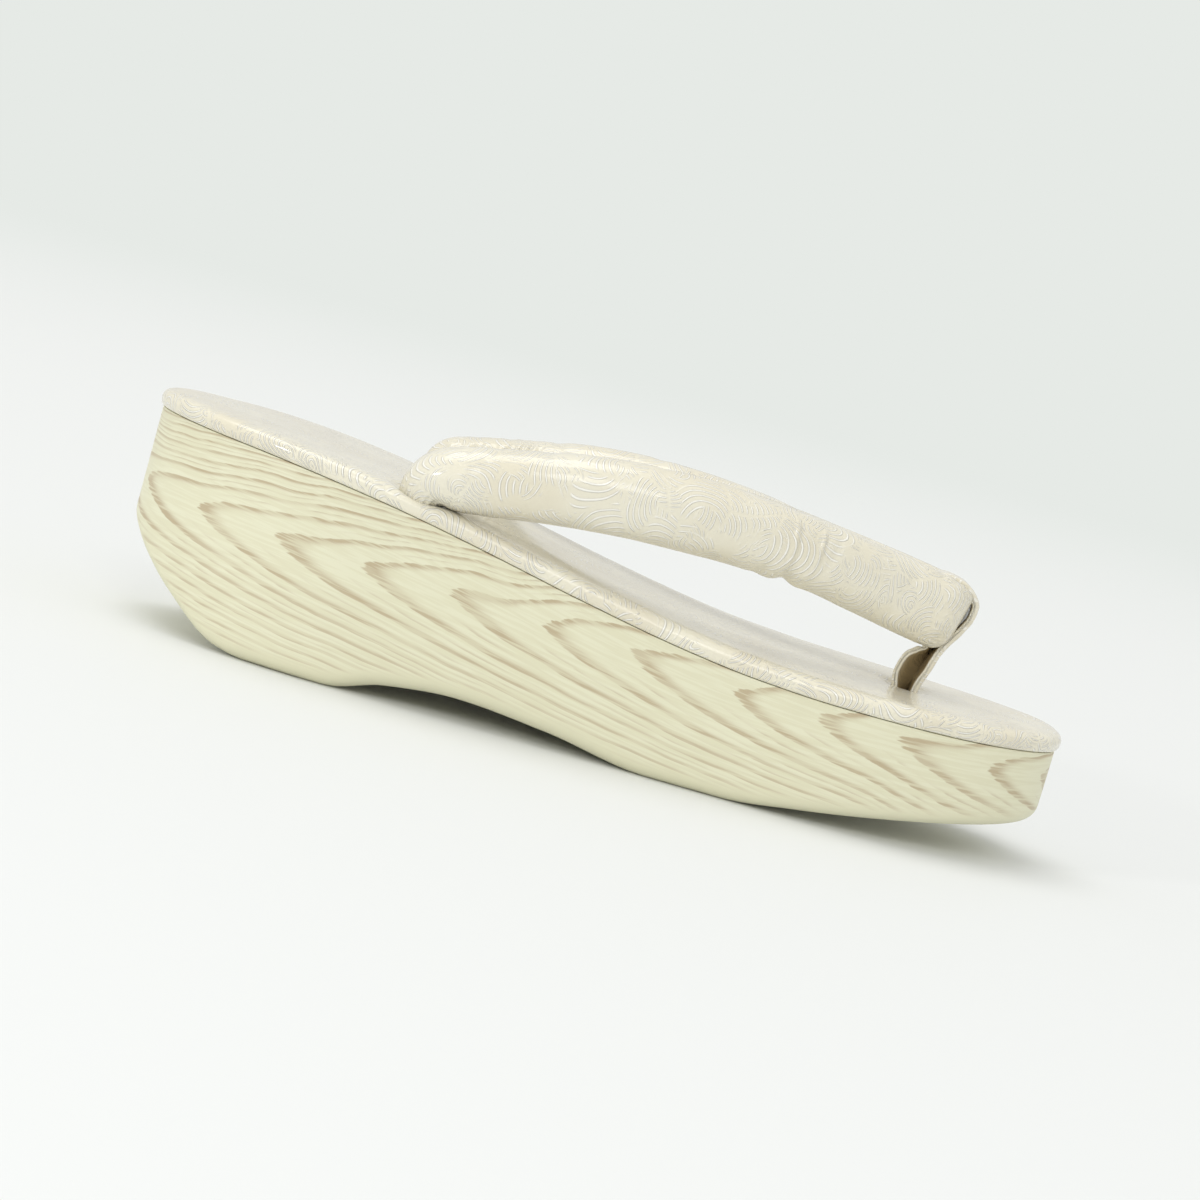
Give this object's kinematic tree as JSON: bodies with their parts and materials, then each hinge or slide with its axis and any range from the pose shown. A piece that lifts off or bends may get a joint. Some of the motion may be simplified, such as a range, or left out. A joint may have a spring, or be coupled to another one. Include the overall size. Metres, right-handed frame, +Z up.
{
  "type": "zori sandal",
  "caption": "Wedge-heeled thong sandal: padded deck on a tapering base, with two padded straps joined at the front and held by a flat loop between the toes.",
  "frame": {"origin": "on the floor plane, under the middle of the sandal's length and width", "axes": "+X towards the toe, +Y to the sandal's left side, +Z up"},
  "size_m": [0.2418, 0.0824, 0.073],
  "materials": {
    "base": "pale cream wood-grain sheet over a light core, satin",
    "deck": "ivory pearl leatherette embossed with scrolls, semi-gloss",
    "straps": "ivory pearl leatherette embossed with scrolls, semi-gloss",
    "loop": "folded ivory leatherette, lightly embossed on its outer face, semi-gloss"
  },
  "bodies": {
    "root": {"base": "base", "deck_pad": "deck", "straps": "straps", "front_loop": "loop"}
  },
  "joints": []
}
